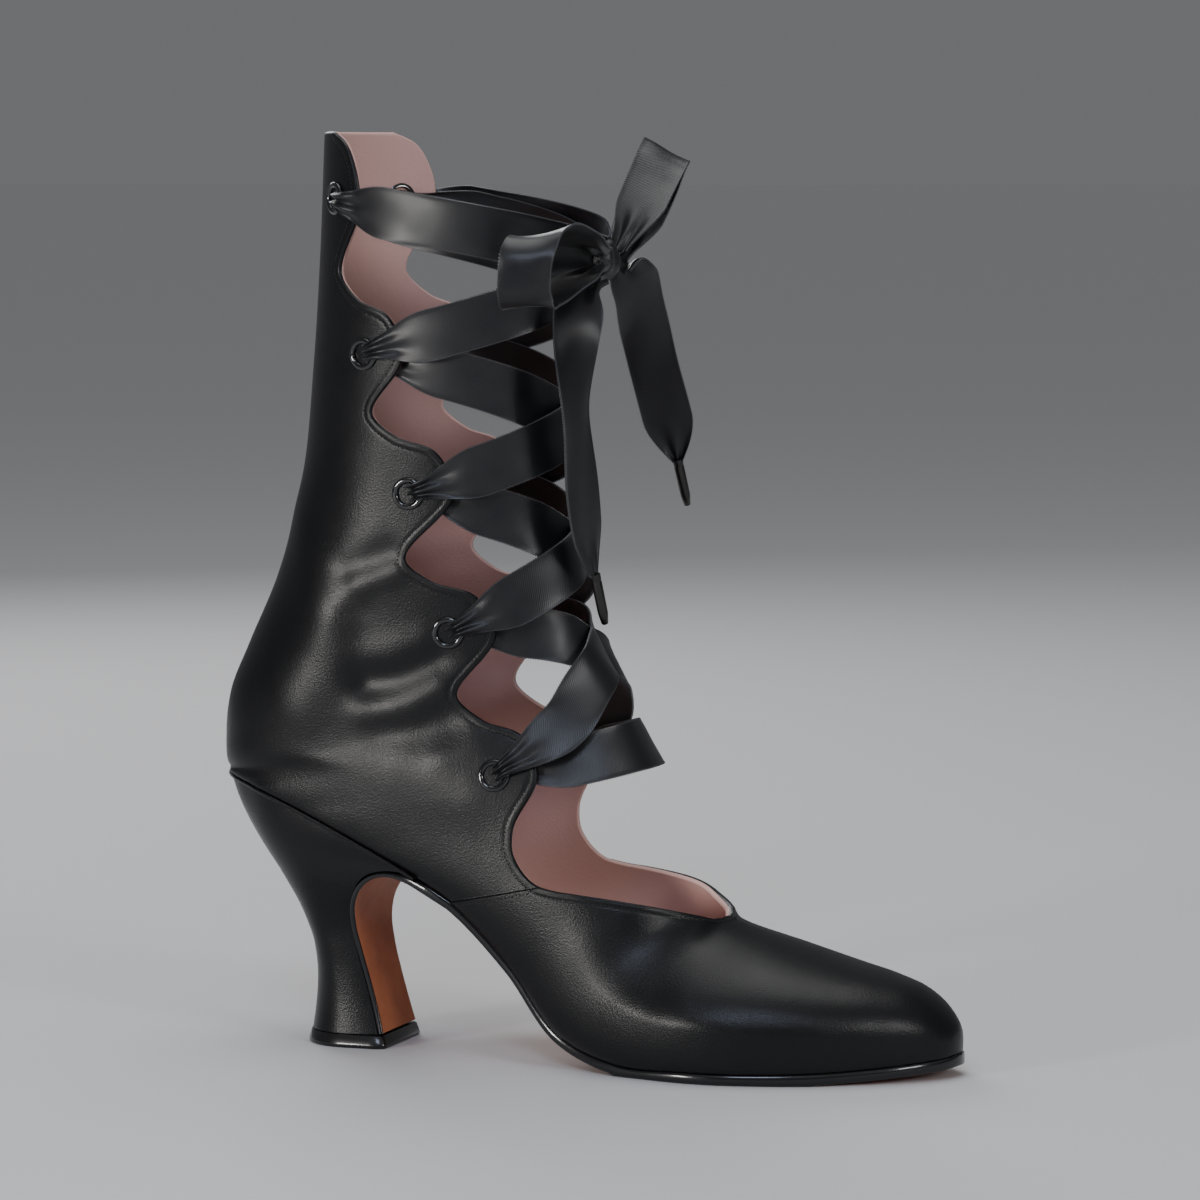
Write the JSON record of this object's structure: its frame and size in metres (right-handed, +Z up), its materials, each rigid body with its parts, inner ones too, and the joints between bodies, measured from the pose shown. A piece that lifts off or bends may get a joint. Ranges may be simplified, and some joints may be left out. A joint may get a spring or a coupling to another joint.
{
  "type": "laced ankle boot",
  "caption": "Left leather boot with scalloped open fronts laced by a wide satin ribbon tied in a bow, low-cut vamp and curved Louis heel; stands empty on its sole.",
  "frame": {"origin": "on the floor, under the middle of the boot's box without its bow", "axes": "+X to the toe, +Y to the outer side of the foot, +Z up"},
  "size_m": [0.2454, 0.1298, 0.292],
  "materials": {
    "black_calf": "black calf with a soft satin gloss and a fine grain",
    "tan_sole_leather": "tan sole leather, nearly matt, with a black finished edge",
    "rose_sock_leather": "thin dusty rose lining leather",
    "black_heel_leather": "black calf stretched over the heel block",
    "black_top_piece": "glossy black lift",
    "black_enamel": "glossy black enamel",
    "black_satin_ribbon": "black satin ribbon with a woven edge",
    "gunmetal": "dark gunmetal"
  },
  "bodies": {
    "root": {"upper": "black_calf", "outsole": "tan_sole_leather", "insole": "rose_sock_leather", "heel": "black_heel_leather", "heel_top_piece": "black_top_piece", "eyelet_medial_1": "black_enamel", "eyelet_medial_2": "black_enamel", "eyelet_medial_3": "black_enamel", "eyelet_medial_4": "black_enamel", "eyelet_medial_5": "black_enamel", "eyelet_lateral_1": "black_enamel", "eyelet_lateral_2": "black_enamel", "eyelet_lateral_3": "black_enamel", "eyelet_lateral_4": "black_enamel", "eyelet_lateral_5": "black_enamel", "lace_bar": "black_satin_ribbon", "lace_cross_1": "black_satin_ribbon", "lace_cross_2": "black_satin_ribbon", "lace_cross_3": "black_satin_ribbon", "lace_cross_4": "black_satin_ribbon", "lace_top_medial": "black_satin_ribbon", "lace_top_lateral": "black_satin_ribbon", "bow_knot": "black_satin_ribbon", "bow_loop_medial": "black_satin_ribbon", "bow_loop_lateral": "black_satin_ribbon", "bow_tail_medial": "black_satin_ribbon", "bow_tail_lateral": "black_satin_ribbon", "aglet_medial": "gunmetal", "aglet_lateral": "gunmetal"}
  },
  "joints": []
}
